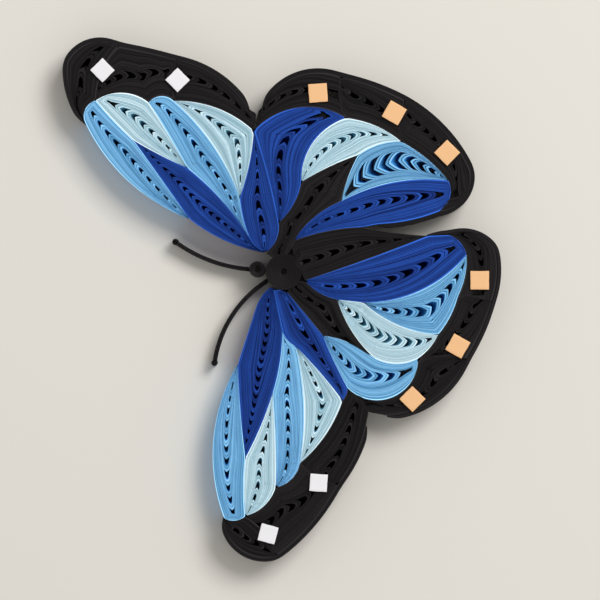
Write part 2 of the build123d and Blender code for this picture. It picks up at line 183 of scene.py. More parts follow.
def end_of_row(outline, start, heading, reach):
    """The number of the outline's point that a heading runs to, or of a corner near it."""
    ahead = (outline - start) @ heading / np.linalg.norm(heading)
    aside = np.abs((outline - start) @ np.array([-heading[1], heading[0]])) / np.linalg.norm(heading)
    hit = int(np.argmin(np.where(ahead > 0, aside, np.inf)))
    near = [i for i, spot in enumerate(outline) if math.dist(spot, outline[hit]) < reach]
    sharpest = max(near, key=lambda i: corner_at(outline, i))
    return sharpest if corner_at(outline, sharpest) > sharp else hit


def even_outline(outline, spacing=0.08 * mm):
    """The outline with points added on its long sides."""
    points = []
    for here, there in zip(outline, np.roll(outline, -1, axis=0)):
        steps = max(math.ceil(math.dist(here, there) / spacing), 1)
        points += [here + (there - here) * i / steps for i in range(steps)]
    return np.array(points)


def root_and_tip(outline, ends, reach=corner_reach):
    """The outline's points at the root and at the tip, read from the row of openings."""
    middles = [(end.bend + end.foot) / 2 for end in ends]
    trend = sum(end.bend - end.foot for end in ends)
    row = [min(middles, key=lambda spot: spot @ trend)]
    rest = [spot for spot in middles if spot is not row[0]]
    while rest:
        row.append(min(rest, key=lambda spot: math.dist(spot, row[-1])))
        rest = [spot for spot in rest if spot is not row[-1]]
    headings = (row[0], row[0] - row[1]), (row[-1], row[-1] - row[-2])
    return [end_of_row(outline, *heading, reach) for heading in headings]


outline = even_outline(outline)
root, tip = root_and_tip(outline, ends)
print("abdomen runs from %s to %s mm" % (outline[root] / mm, outline[tip] / mm))

# %% [markdown]
# ## A ladder through the coil
# Root and tip cut the outline into two flanks. Points at the same share of both flanks are joined in
# thought by a rung, as on a ladder. The middles of the rungs are the coil's middle line, and half of a
# rung is the room for turns on each side. Any point of a turn can then be placed by how far along the
# coil it is, and how far from the middle.


# %% Rungs from flank to flank
def flanks(outline, root, tip):
    """The two sides of an outline, each from its root to its tip."""
    turned = np.roll(outline, -root, axis=0)
    cut = (tip - root) % len(outline)
    return turned[: cut + 1], np.concatenate([turned[:1], turned[: cut - 1 : -1]])


class Ladder:
    """Two flanks with rungs between them, and the middle line through the rungs."""

    steps = 240

    def __init__(self, left, right):
        self.left, self.right = self.even(left), self.even(right)
        self.set_middle((self.left + self.right) / 2)

    def even(self, points):
        """Points at even steps along a line."""
        run = np.concatenate([[0], np.cumsum(np.hypot(*np.diff(points, axis=0).T))])
        wanted = np.linspace(0, run[-1], self.steps + 1)
        return np.stack([np.interp(wanted, run, points[:, axis]) for axis in (0, 1)], axis=1)

    def set_middle(self, middle):
        """Takes a middle line, and measures the way along it and the room beside it."""
        self.middle = middle
        self.room = np.hypot(*(self.right - self.left).T) / 2
        self.along = np.concatenate([[0], np.cumsum(np.hypot(*np.diff(middle, axis=0).T))])
        self.length = self.along[-1]

    def read(self, distance, values):
        """Values kept for each rung, read at distances from the root."""
        return np.stack([np.interp(distance, self.along, values[:, axis]) for axis in (0, 1)], axis=1)

    def room_at(self, distance):
        """Half of the rung at distances from the root."""
        return np.interp(distance, self.along, self.room)

    def place(self, distance, width):
        """Points at distances from the root and at widths to the right of the middle line."""
        share = (np.abs(width) / np.maximum(self.room_at(distance), tiny))[:, None]
        left, right = (self.read(distance, flank) for flank in (self.left, self.right))
        flank = np.where(width[:, None] > 0, right, left)
        return self.read(distance, self.middle) * (1 - share) + flank * share


abdomen = Ladder(*flanks(outline, root, tip))
print("abdomen: %.1f mm long, %.1f mm wide" % (abdomen.length / mm, 2 * abdomen.room.max() / mm))

# %% [markdown]
# ## The middle line leans
# A coil pinched by hand isn't even: its row of openings runs nearer to one flank. The middle line is
# moved over to the openings by a bow and an S along its length, both of them nothing at root and tip,
# in the amounts that fit the openings best.


# %% Lean the middle line to the openings
def bows(share):
    """A bow and an S at shares of the way from root to tip."""
    bow = 4 * share * (1 - share)
    return np.stack([bow, bow * (2 * share - 1)], axis=1)


def lean_middle(ladder, spots, most=0.2):
    """Moves the middle line over to some spots, by at most a share of the rungs."""
    rungs = ladder.right - ladder.left
    steps = [int(np.argmin(np.hypot(*(ladder.middle - spot).T))) for spot in spots]
    aside = []
    for spot, i in zip(spots, steps):
        aside.append((spot - ladder.middle[i]) @ rungs[i] / (rungs[i] @ rungs[i]))
    amounts = np.linalg.lstsq(bows(np.array(steps) / ladder.steps), np.array(aside), rcond=None)[0]
    lean = (bows(np.linspace(0, 1, ladder.steps + 1)) @ amounts).clip(-most, most)
    ladder.set_middle(ladder.left + rungs * (0.5 + lean)[:, None])
    return lean


lean = lean_middle(abdomen, [(end.bend + end.foot) / 2 for end in ends])
print("the abdomen's row leans by at most %.2f of its width" % np.abs(lean).max())

# %% [markdown]
# ## How the turns lie
# Each turn reaches a little further than the one inside it, and is two sheets thick, because the strip
# goes round twice before it moves on. After the longest turn the strip goes round the whole coil a few
# times more, to hold it. The tips of the turns are set by the block's openings. Where the openings are
# far apart, the block leaves some out, and they are put back here, each a little off its even place. A
# few coils were pressed less than the others, so their turns lie looser and their openings are wider.

# %% Shares and counts of a pressed coil
sheets_per_turn = 2
coloured_pitch = 0.95 * mm  # from turn to turn, along the middle of a coil
black_pitch = 1.15 * mm
pressed_share = 0.9  # of the room on a flank that the paper fills, so the openings get the rest
looser_share = {  # the same, in the coils that were pressed less
    "right_hindwing_middle_coil": 0.62,
    "left_hindwing_rear_tip_coil": 0.8,
    "left_hindwing_middle_coil": 0.8,
    "left_hindwing_front_tip_coil": 0.85,
}
far_corner = {"left_forewing_middle_coil": 0.7 * mm}  # this one was pinched beside its row of openings
print("a coloured coil has %.1f turns in 10 mm" % (10 * mm / coloured_pitch))

# %% Tips of the turns
wrap_share = 0.8  # of the sheets that would fill the widest rung, this share goes round the whole coil
fewest_wraps = 2
wraps_at_tip = 4.5  # sheets' room, the most that all the wraps take at the tip
most_turns = 30  # more than the longest coil has
wrap_gap = 0.25  # of a step, between the farthest turn and the wraps
shortest_turn = 0.8  # of a step
tip_wobble = 0.06  # of a step


def reach_of_wrap(ladder, wraps, depth):
    """How far a wrap reaches that has a number of sheets outside it."""
    return ladder.length - glue_line - depth * min(paper, wraps_at_tip * paper / wraps)


def turn_tips(ladder, bends, pitch, wraps):
    """Distances from the root to the tips of the turns, longest first."""
    bends = sorted(ladder.along[int(np.argmin(np.hypot(*(ladder.middle - bend).T)))] for bend in bends)
    step = (bends[-1] - bends[0]) / (len(bends) - 1)
    step /= max(round(step / pitch), 1)
    farthest = reach_of_wrap(ladder, wraps, wraps) - wrap_gap * step
    tips = np.arange(bends[-1] - most_turns * step, farthest, step)
    tips = tips[tips > shortest_turn * step][::-1]
    return [tip + step * dice.uniform(-tip_wobble, tip_wobble) for tip in tips], step


def measure_coil(node, pitch):
    """The ladder, the tips of the turns and the number of wraps of a pressed coil."""
    outline, *openings = top_lines(node)
    outline = even_outline(outline)
    ends = [pointed_end(opening) for opening in openings]
    ladder = Ladder(*flanks(outline, *root_and_tip(outline, ends, far_corner.get(node, corner_reach))))
    lean_middle(ladder, [(end.bend + end.foot) / 2 for end in ends])
    share = looser_share.get(node, pressed_share)
    wraps = max(round(wrap_share * share * ladder.room.max() / paper), fewest_wraps)
    tips, step = turn_tips(ladder, [end.bend for end in ends], pitch, wraps)
    return SimpleNamespace(ladder=ladder, tips=tips, step=step, wraps=wraps, share=share)


coil = measure_coil("abdomen_coil", black_pitch)
print("abdomen:", len(coil.tips), "turns inside", coil.wraps, "wraps")

# %% [markdown]
# ## The line of one turn
# On the flanks all the turns lie pressed together, and towards the root they are pinched thinner and
# thinner. A turn closes at its own tip in a pointed arch, and the gap between two arches is the dark
# opening that makes quilling sparkle. A wrap has no arch: it follows the outline all the way.

# %% A turn's line
flank_points = 34  # of the longest turn, on each flank
pinched_share = 0.97  # of the room at the root that the paper fills, where the fingers pinch
pinch_reach = 1.6  # steps from the root to where the coil is only pressed
root_gap = 0.015  # of the coil's length, left free at the root
least_room = 0.004 * mm  # from a turn to the middle line, before the turn closes
closing_share = 1.3  # a turn closes over this many times the room at its tip
least_closing, most_closing = 0.1, 0.8  # of a step


def sheet_thickness(coil, distance):
    """How thick a pressed sheet is, at distances from the root."""
    turns = np.maximum(coil.tips[0] + coil.step / 2 - distance, 0) / coil.step
    near_root = np.maximum(1 - distance / (pinch_reach * coil.step), 0)
    share = coil.share + (pinched_share - coil.share) * near_root
    room = share * coil.ladder.room_at(distance)
    return np.minimum(paper, room / (coil.wraps + sheets_per_turn * turns))


def half_width(coil, distance, depth):
    """Room left inside a number of sheets, on each side of the middle line."""
    return coil.ladder.room_at(distance) - glue_line - depth * sheet_thickness(coil, distance)


def arch(share, pointed=1.5, full=0.8):
    """How far open a turn still is, from 1 where it starts to close to 0 at its tip."""
    return (1 - share**pointed) ** full


def toward_tip(start, tip, points):
    """Distances on the way from a start to a tip, closer together near the tip."""
    return start + (tip - start) * np.sin(math.pi / 2 * np.arange(points) / points)


def round_tip(ladder, distance, width, tip):
    """Points up one flank, round a tip and down the other flank."""
    left, right = (ladder.place(distance, side * width) for side in (-1, 1))
    return np.concatenate([left, ladder.place(np.array([tip]), np.zeros(1)), right[::-1]])


def turn_line(coil, depth, tip, points, arched=True):
    """The line of a turn that has a number of sheets outside it."""
    distance = toward_tip(root_gap * coil.ladder.length, tip, points)
    width = np.maximum(half_width(coil, distance, depth), least_room)
    if arched:
        closing = closing_share * half_width(coil, tip, depth)
        closing = np.clip(closing, least_closing * coil.step, most_closing * coil.step)
        width *= arch(((distance - tip + closing) / closing).clip(0, 1))
    return round_tip(coil.ladder, distance, width, tip)


line = turn_line(coil, coil.wraps, coil.tips[0], flank_points)
print("the abdomen's longest turn takes %.0f mm of strip" % (run_of(line) / mm))

# %% [markdown]
# ## Feet that slide
# A turn of a pressed coil doesn't stand quite upright: the press slides its foot back towards the root,
# most of all on the middle line. So one looks down on a slope of coloured paper in each opening, and
# the opening looks deep blue there instead of black. Near the root the pinch holds the feet. The slide
# of a foot is read from its nearest rung, because moving a whole turn back would tear it from the
# flanks.

# %% Where a turn stands
slide_share = 0.5  # of the room on a flank, by which a foot on the middle line slides back
root_hold = 2 * mm  # so far from the root the feet can't slide freely


def foot_line(ladder, line):
    """Where the foot of a turn stands, from the line of its top."""
    away = np.hypot(*(line[:, None] - ladder.middle).T)
    rungs = away.argmin(axis=0)
    inward = (1 - away.min(axis=0) / np.maximum(ladder.room[rungs], tiny)).clip(0, 1)
    forward = np.gradient(ladder.middle, axis=0)[rungs]
    forward /= np.hypot(*forward.T)[:, None]
    free = (ladder.along[rungs] / root_hold).clip(0, 1)
    return line - forward * (slide_share * ladder.room[rungs] * inward * free)[:, None]


slide = foot_line(coil.ladder, line) - line
print("a foot of the abdomen's longest turn slides by %.2f mm at most" % (np.hypot(*slide.T).max() / mm))

# %% [markdown]
# ## One strip, standing on edge
# A strip is a thin wall, and what is seen from above is its cut edge. The two sides of that edge are
# two chains of vertices, bridge_loops fills the narrow band between them, and extruding the band down
# to the floor makes the walls. A Solidify modifier could do it from one chain, but it would give the
# same thickness where a turn is pinched thin. Both chains rise and sag together, so that the edge stays
# square to the walls. Each strip keeps a tone in an attribute of its faces, for its material.

# %% A strip from the lines of its two faces
noise_span = 100  # sag lengths: each strip takes its noise from a place of its own in this span


def new_piece():
    """An empty mesh whose faces can each hold a tone."""
    bm = bmesh.new()
    bm.faces.layers.float.new("tone")
    return bm


def add_strip(bm, outer, inner, height, sag, tone, ladder=None):
    """Adds a wall between two lines. Its top sags here and there, and in a ladder its foot slides."""
    seed = np.array([dice.random(), dice.random(), dice.random()]) * noise_span
    spots = [noise.noise(Vector((*spot, 0)) / sag_length + Vector(seed)) for spot in (outer + inner) / 2]
    tops = height - sag * (0.5 + 0.5 * np.array(spots))  # because noise is between -1 and 1
    chains, feet = [], {}
    for line in (outer, inner):
        verts = [bm.verts.new((*point, top)) for point, top in zip(line, tops)]
        chains += [bm.edges.new(pair) for pair in zip(verts, verts[1:])]
        foot = foot_line(ladder, line) if ladder else line
        feet.update({tuple(vert.co.xy): point for vert, point in zip(verts, foot)})
    cut_edge = bmesh.ops.bridge_loops(bm, edges=chains)["faces"]
    walls = bmesh.ops.extrude_face_region(bm, geom=cut_edge, use_keep_orig=True)["geom"]
    lowered = [part for part in walls if isinstance(part, bmesh.types.BMVert)]
    for vert in lowered:
        vert.co = (*feet[tuple(vert.co.xy)], 0)
    tones = bm.faces.layers.float["tone"]
    for face in {face for vert in lowered for face in vert.link_faces}.union(cut_edge):
        face[tones] = tone


trial = new_piece()
add_strip(trial, line, line * 0.99, strip_width, unevenness, 1.0)
print("one strip has", len(trial.faces), "faces")
trial.free()

# %% [markdown]
# ## From mesh to finished piece
# Paper bends smoothly, so a finished piece is shaded smooth, except at the cut edges and the creases.
# Each piece is one coil, takes the place of its block, and rides with the butterfly's one body. Joining
# them all to one object would draw faster, but a rolled strip is a thing of its own on the real
# butterfly.

# %% Make a finished piece of a mesh
slot_of = {piece["node"]: piece["material_slot"] for piece in frame["record"]["subparts"]}
pieces = {}
crease = math.radians(35)  # the least angle between two faces that looks sharp


def finish_piece(bm, name, node):
    """Makes an object of the mesh, which stands for a node of the frame and rides with the butterfly."""
    bmesh.ops.dissolve_degenerate(bm, dist=tiny / 2, edges=bm.edges)
    bmesh.ops.recalc_face_normals(bm, faces=bm.faces)
    for face in bm.faces:
        face.smooth = True
    for edge in bm.edges:
        edge.smooth = edge.calc_face_angle(math.pi) < crease
    mesh = bpy.data.meshes.new(name)
    bm.to_mesh(mesh)
    bm.free()
    piece = bpy.data.objects.new(name, mesh)
    bpy.context.scene.collection.objects.link(piece)
    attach(piece, "root")
    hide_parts(node)
    pieces[node] = piece


print("kinds of paper:", sorted(set(slot_of.values())))

# %% [markdown]
# ## Winding the pressed coils
# First the wraps are laid from the outside in, then the turns. The outermost wrap gets the lightest
# tone, a painted highlight, because its cut edge stands free and would catch the light. The rest of the
# tones are left to chance. Inner turns are pushed down a little further than the wraps, as they are by
# the fingers that pinch a coil. A strip stands on an edge that is as wide as the paper is thick, so the
# area of all the lower edges, divided by that thickness, tells how long the strip was before it was
# wound.

# %% Wind a pressed coil
sheet_share = 0.82  # of a sheet's place that is paper, so that a thin dark line stays beside it
# painted highlight on the outermost wrap: a tone above the usual ones, so its colour is lighter
painted_highlight_tone = 1.7  # a tone is mostly between 0, which is dark, and 1
arch_share = 0.26  # of a step, from one sheet's tip to the next one's within a turn
fewest_points = 12  # on a flank of a short turn
push = 0.02 * mm  # of a finger on the inner turns


def sheet_of(coil):
    """How much of a sheet's place is paper: less in a coil that was pressed less."""
    return sheet_share * math.sqrt(coil.share / pressed_share)


def wind_coil(coil):
    """The mesh of a pressed coil."""
    bm = new_piece()
    sheet_end = sheet_of(coil)
    for depth in range(coil.wraps):
        faces = []
        for face_depth in (depth, depth + sheet_end):
            reach = reach_of_wrap(coil.ladder, coil.wraps, face_depth)
            faces.append(turn_line(coil, face_depth, reach, flank_points, arched=False))
        # the outermost wrap gets the painted highlight tone, every other wrap a random tone
        tone = painted_highlight_tone if depth == 0 else dice.random()
        add_strip(bm, *faces, strip_width, unevenness / 2, tone)
    arch_thickness = arch_share * coil.step
    depth = coil.wraps
    for tip in coil.tips:
        points = max(round(flank_points * tip / coil.ladder.length), fewest_points)
        for sheet in range(sheets_per_turn):
            reach = tip - sheet * arch_thickness
            outer = turn_line(coil, depth, reach, points)
            inner = turn_line(coil, depth + sheet_end, reach - sheet_end * arch_thickness, points)
            add_strip(bm, outer, inner, strip_width - push, unevenness, dice.random(), coil.ladder)
            depth += 1
    return bm


def strip_in(wound, coil):
    """The length of strip in a pressed coil, from the area that it stands on."""
    lower_edge = [face for face in wound.faces if face.calc_center_median().z < 10 * tiny]
    return sum(face.calc_area() for face in lower_edge) / (sheet_of(coil) * paper)


sides = ("left", "right")
pressed_coils = [node for node in slot_of if node.endswith("_coil") and node.split("_")[0] in sides]
for node in [*pressed_coils, "abdomen_coil"]:
    coil = measure_coil(node, black_pitch if slot_of[node] == "black_paper" else coloured_pitch)
    wound = wind_coil(coil)
    length = strip_in(wound, coil) / mm
    print(f"{node}: {len(coil.tips)} turns, {coil.wraps} wraps, {length:.0f} mm of strip")
    finish_piece(wound, f"wound_{node}", node)

# %% [markdown]
# ## Rims
# The coils of each wing are held together by a strip that goes three times along the margin. Its ends
# are glued flat on the turn below, so the rim gets thinner there. A rim's block is a long band with two
# blunt ends. A ladder from end to end gives its run, and the three turns share the rungs. A strip under
# tension bridges the small kinks between two coils, so the outer flank is eased with a moving average.

# %% The run of a rim
kink_reach = 1.2 * mm  # how far a kink is eased, to each side of it


def blunt_ends(outline):
    """The two short sides of a band: the numbers of their first points, in a plain outline."""
    count = len(outline)
    squareness = [min(corner_at(outline, i), corner_at(outline, (i + 1) % count)) for i in range(count)]
    first = max(range(count), key=lambda i: squareness[i])
    apart = [i for i in range(count) if min((i - first) % count, (first - i) % count) > count // 5]
    return first, max(apart, key=lambda i: squareness[i])


def ease(line):
    """The line without its kinks, between the same ends."""
    reach = round(kink_reach * (len(line) - 1) / run_of(line))
    window = np.hanning(2 * reach + 3)[1:-1]  # without the zeros at its ends
    before, after = 2 * line[0] - line[reach:0:-1], 2 * line[-1] - line[-2 : -reach - 2 : -1]
    longer = np.concatenate([before, line, after])
    return np.stack([np.convolve(axis, window / window.sum(), "valid") for axis in longer.T], axis=1)


def rim_ladder(node):
    """The ladder of a rim, from one blunt end to the other, and which side of it is the outer one."""
    outline = top_lines(node)[0]
    start, end = blunt_ends(outline)
    turned = np.roll(outline, -start - 1, axis=0)
    cut = (end - start - 1) % len(outline)
    ladder = Ladder(turned[: cut + 1], turned[:cut:-1])
    outer_side = 1 if run_of(ladder.right) > run_of(ladder.left) else -1
    if outer_side > 0:
        ladder.right = ease(ladder.right)
    else:
        ladder.left = ease(ladder.left)
    ladder.set_middle((ladder.left + ladder.right) / 2)
    return ladder, outer_side


ladder, outer_side = rim_ladder("right_forewing_rim")
print("the right forewing's rim is %.0f mm long" % (ladder.length / mm))

# %% Wind the rims
rim_turns = 3
rim_points = 150  # along each face of a turn
rim_margin = 0.02 * mm  # left free at the ends of a rim
thinning = 1.4 * mm  # how far from its ends a rim starts to get thinner
end_fullness = 0.3  # of a rim's thickness, at its ends
rim_faces = 0.06, 0.94  # of a turn's place in a rim: where its two faces lie


def rim_line(ladder, outer_side, share):
    """A line along a rim, at a share of its thickness from the inner side."""
    distance = np.linspace(rim_margin, ladder.length - rim_margin, rim_points)
    near_end = (np.minimum(distance, ladder.length - distance) / thinning).clip(0, 1)
    fullness = end_fullness + (1 - end_fullness) * np.sin(math.pi / 2 * near_end)
    return ladder.place(distance, outer_side * (2 * share * fullness - 1) * ladder.room_at(distance))


def wind_rim(ladder, outer_side):
    """The mesh of a rim."""
    bm = new_piece()
    for turn in range(rim_turns):
        faces = [rim_line(ladder, outer_side, (turn + face) / rim_turns) for face in rim_faces]
        add_strip(bm, *faces, strip_width, unevenness / 2, dice.random())
    return bm


for node in [node for node in slot_of if node.endswith("_rim")]:
    ladder, outer_side = rim_ladder(node)
    finish_piece(wind_rim(ladder, outer_side), f"wound_{node}", node)
    print(f"{node}: {rim_turns * ladder.length / mm:.0f} mm of strip")

# %% [markdown]
# ## Thorax and head
# These two are tight coils, left round. The strip winds outward from the hole that the needle left, by
# one thickness of paper each turn, so its line is a spiral. The last turn is drawn tight and glued down
# flat, so it keeps to the full radius and thins towards its end. A finger's push leaves the top a
# little dished.

# %% Roll the tight coils
needle_radius = 0.2 * mm
dish = 0.25 * mm  # how deep the middle of the top lies
spiral_points = 40  # in each turn
end_of_strip = 0.3  # of a turn is left out, where the strip ends
spiral_faces = 0.1, 0.86  # of a turn's place in the spiral: where its two faces lie
plain_tone = 0.5


def roll_tight_coil(node):
    """The mesh of a tight coil, and the length of strip in it."""
    low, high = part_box(node)
    centre = np.array((low + high).xy) / 2
    radius = (high.x - low.x) / 2
    turns = int((radius - needle_radius) / paper)
    pitch = (radius - needle_radius) / turns
    turned = np.arange(int((turns - end_of_strip) * spiral_points)) / spiral_points
    heading = np.stack([np.cos(2 * math.pi * turned), np.sin(2 * math.pi * turned)], axis=1)
    inner, outer = (needle_radius + pitch * (turned + face) for face in spiral_faces)
    inner, outer = np.minimum(inner, radius - 3 * glue_line), np.minimum(outer, radius - glue_line)
    inner, outer = (centre + heading * away[:, None] for away in (inner, outer))
    bm = new_piece()
    add_strip(bm, outer, inner, high.z, unevenness / 2, plain_tone)
    for vert in bm.verts:
        if vert.co.z > high.z / 2:
            vert.co.z -= dish * (1 - math.dist(vert.co.xy, centre) / radius)
    return bm, run_of(outer)


for node in ("thorax_coil", "head_coil"):
    rolled, strip_length = roll_tight_coil(node)
    finish_piece(rolled, f"rolled_{node}", node)
    print(f"{node}: {strip_length / mm:.0f} mm of strip")

# %% [markdown]
# ## Antennae
# An antenna is a strip laid threefold: a fold goes round the third layer, and at the tip it is rolled
# open to a tiny eye. Its block gives the outline, so a ladder from the body to the tip places the
# fold's two faces, and then the layer between them.

# %% Fold the antennae
fold_points = 60  # along each face of a layer
body_gap = 0.004  # of an antenna's length, left free at the body
fold_depth = 0.95 * paper  # of the fold's inner face
core_room = 0.42 * paper  # from the middle line to each face of the third layer
eye_length = 4 * paper  # left open at the tip
# painted light: the fold, which stands free, gets a lighter tone as a painted highlight; the core gets a
# darker tone
fold_highlight_tone, core_tone = 0.7, 0.3  # the fold stands free and looks lighter


def antenna_ladder(node):
    """The ladder of an antenna, from the body to the tip."""
    outline = even_outline(top_lines(node)[0])
    low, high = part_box("thorax_coil")
    away = np.hypot(*(outline - np.array((low + high).xy) / 2).T)
    return Ladder(*flanks(outline, int(np.argmin(away)), int(np.argmax(away))))


def fold_line(ladder, depth):
    """Points of the fold's face at a depth inside the outline."""
    tip = ladder.length - depth
    distance = toward_tip(body_gap * ladder.length, tip, fold_points)
    return round_tip(ladder, distance, np.maximum(ladder.room_at(distance) - depth, least_room), tip)


def fold_antenna(node, ladder):
    """The mesh of an antenna."""
    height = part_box(node)[1].z
    bm = new_piece()
    fold = [fold_line(ladder, depth) for depth in (glue_line, fold_depth)]
    add_strip(bm, *fold, height, unevenness / 4, fold_highlight_tone)
    distance = np.linspace(body_gap * ladder.length, ladder.length - eye_length, fold_points)
    core = [ladder.place(distance, np.full(fold_points, side * core_room)) for side in (-1, 1)]
    add_strip(bm, *core, height, unevenness / 4, core_tone)
    return bm


for node in ("left_antenna", "right_antenna"):
    ladder = antenna_ladder(node)
    finish_piece(fold_antenna(node, ladder), f"folded_{node}", node)

# %% [markdown]
# ## Paper squares
# The dots on the margins are cut from heavier paper with scissors, so their sides aren't quite true and
# their corners lift a little. A small grid is bent by moving its vertices, solidify gives it thickness,
# and a small bevel breaks its cut edges.

# %% Cut the squares
square_cells = 6  # of the grid, on each side
square_share = 0.985  # of the block's side, so that an untrue side stays inside it
card_share = 0.88  # of the block's thickness, so that a lifted corner stays inside it
corner_lift = 0.03  # of the thickness, at the middle of a side, and twice as much in a corner
surface_wobble = 0.01  # of the thickness
cut_wobble = 0.012 * mm  # how far a cut strays, to each side
broken_edge = 0.03 * mm  # the width of the bevel


def bend_square(bm, side, thickness):
    """Makes the sides of a flat grid a little untrue and lifts its corners."""
    for vert in bm.verts:
        out = max(abs(vert.co.x), abs(vert.co.y)) / (side / 2)
        vert.co.x += cut_wobble * dice.uniform(-1, 1) * out
        vert.co.y += cut_wobble * dice.uniform(-1, 1) * out
        lift = corner_lift * (vert.co.xy.length / side * 2) ** 2 + surface_wobble * dice.random()
        vert.co.z += thickness * lift


def cut_square(node):
    """The mesh of a paper square."""
    outline = top_lines(node)[0]
    low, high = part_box(node)
    thickness = high.z - low.z
    side = math.dist(outline[0], outline[1])
    angle = math.atan2(*(outline[1] - outline[0])[::-1])
    bm = new_piece()
    half_side = square_share * side / 2
    bmesh.ops.create_grid(bm, x_segments=square_cells, y_segments=square_cells, size=half_side)
    bend_square(bm, side, thickness)
    bmesh.ops.recalc_face_normals(bm, faces=bm.faces)
    bmesh.ops.solidify(bm, geom=bm.faces[:], thickness=card_share * thickness)
    cut = [edge for edge in bm.edges if edge.calc_face_angle(0) > crease]
    rounding = {"segments": 2, "profile": 0.5, "affect": "EDGES", "material": -1}
    bmesh.ops.bevel(bm, geom=cut, offset=broken_edge, **rounding)
    bmesh.ops.rotate(bm, verts=bm.verts, matrix=Matrix.Rotation(angle, 3, "Z"))
    lowest = min(vert.co.z for vert in bm.verts)
    bmesh.ops.translate(bm, verts=bm.verts, vec=(*((low + high).xy / 2), low.z - lowest))
    tones = bm.faces.layers.float["tone"]
    for face in bm.faces:
        face[tones] = plain_tone
    return bm


squares = [node for node in slot_of if node.endswith("_square")]
for node in squares:
    finish_piece(cut_square(node), f"cut_{node}", node)
print("squares:", len(squares), "with", len(pieces[squares[0]].data.polygons), "faces each")

# %% [markdown]
# ## Paper, close up
# Quilling paper has its dye all through. It is matt and a little fibrous, each turn is a slightly
# different shade, and the cut edges on top get a painted highlight, lighter than the walls. These
# effects are the same for every colour, so one node group makes them from the place on the object, the
# tone of the strip and the normal. Its outputs are a colour, a roughness and a height. Short helpers
# keep the node code readable.


# %% Helpers for node groups
def new_group(name, inputs, outputs):
    """A node group with named inputs, from their first values, and outputs, from their kinds."""
    group = bpy.data.node_groups.new(name, "ShaderNodeTree")
    for title, value in inputs.items():
        kind = "NodeSocketColor" if isinstance(value, tuple) else "NodeSocketFloat"
        group.interface.new_socket(name=title, in_out="INPUT", socket_type=kind).default_value = value
    for title, kind in outputs.items():
        group.interface.new_socket(name=title, in_out="OUTPUT", socket_type=kind)
    return group


def add_node(tree, kind, links=None, values=None, **settings):
    """Adds a node, sets it up and links its inputs to the sockets that are given."""
    node = tree.nodes.new(kind)
    for name, value in settings.items():
        setattr(node, name, value)
    for name, value in (values or {}).items():
        node.inputs[name].default_value = value
    for name, socket in (links or {}).items():
        tree.links.new(socket, node.inputs[name])
    return node


def calculate(tree, operation, first, second):
    """A math node of two sockets or numbers, as its output socket."""
    node = tree.nodes.new("ShaderNodeMath")
    node.operation = operation
    for entry, value in zip(node.inputs, (first, second)):
        if isinstance(value, (int, float)):
            entry.default_value = value
        else:
            tree.links.new(value, entry)
    return node.outputs["Value"]


print("node helpers are ready")

# %% [markdown]
# The fibres are fine noise. The dye isn't quite even either, which is a coarser noise. The tone of the
# strip and both noises together make it lighter or darker. Where a face looks up it is a cut edge, and
# gets some of the painted highlight colour, and more of it where the tone is light.

# %% Node group of paper: dye, fibres and a painted highlight
fibre_size, cloud_size = 0.1 * mm, 1.5 * mm
noise_share, tone_share = 0.3, 0.7  # in how light or dark the paper is
middle_grain = noise_share + tone_share / 2  # where both noises and the tone are halfway
# painted highlight on top faces: none where the normal points up no more than on a wall, full on a cut
# edge
wall_share, highlight_share = 0.5, 0.95  # of a normal that points up, on a wall and on a cut edge
dyed_paper_with_highlight = new_group(
    "dyed_paper_with_highlight",
    {
        "Dye": (0.5, 0.5, 0.5, 1),
        # the next two: the lighter colour painted on the cut edges as a highlight, and its strongest
        # share
        "Painted highlight": (0.8, 0.8, 0.8, 1),
        "Painted highlight share": 0.3,
        "Spread": 0.12,
        "Matt": 0.7,
    },
    {"Color": "NodeSocketColor", "Roughness": "NodeSocketFloat", "Height": "NodeSocketFloat"},
)
entry = dyed_paper_with_highlight.nodes.new("NodeGroupInput").outputs
place = add_node(dyed_paper_with_highlight, "ShaderNodeTexCoord").outputs["Object"]
fibre_noise = {"Scale": 1 / fibre_size, "Detail": 4, "Roughness": 0.6}
cloud_noise = {"Scale": 1 / cloud_size, "Detail": 2}
fibres, clouds = (
    add_node(dyed_paper_with_highlight, "ShaderNodeTexNoise", {"Vector": place}, values).outputs["Fac"]
    for values in (fibre_noise, cloud_noise)
)
tone = add_node(dyed_paper_with_highlight, "ShaderNodeAttribute", attribute_name="tone").outputs["Fac"]

grain = calculate(dyed_paper_with_highlight, "MULTIPLY", calculate(dyed_paper_with_highlight, "ADD", fibres, clouds), noise_share)
grain = calculate(dyed_paper_with_highlight, "ADD", grain, calculate(dyed_paper_with_highlight, "MULTIPLY", tone, tone_share))
off_middle = calculate(dyed_paper_with_highlight, "SUBTRACT", grain, middle_grain)
lift = calculate(dyed_paper_with_highlight, "MULTIPLY", off_middle, entry["Spread"])
level = calculate(dyed_paper_with_highlight, "ADD", calculate(dyed_paper_with_highlight, "MULTIPLY", lift, 2.0), 1.0)  # about 1

normal = add_node(dyed_paper_with_highlight, "ShaderNodeNewGeometry").outputs["Normal"]
upward = add_node(dyed_paper_with_highlight, "ShaderNodeSeparateXYZ", {"Vector": normal}).outputs["Z"]
# mask of the painted highlight: faces that look up, the cut edges, get the lighter colour
cut_edge = add_node(
    dyed_paper_with_highlight,
    "ShaderNodeMapRange",
    links={"Value": upward, "To Max": entry["Painted highlight share"]},
    values={"From Min": wall_share, "From Max": highlight_share},
).outputs["Result"]
# more painted highlight where the strip's tone is light
cut_edge = calculate(dyed_paper_with_highlight, "MULTIPLY", cut_edge, calculate(dyed_paper_with_highlight, "ADD", tone, 0.5))
items = dyed_paper_with_highlight.interface.items_tree
print("the group reads", [item.name for item in items if item.in_out == "INPUT"])

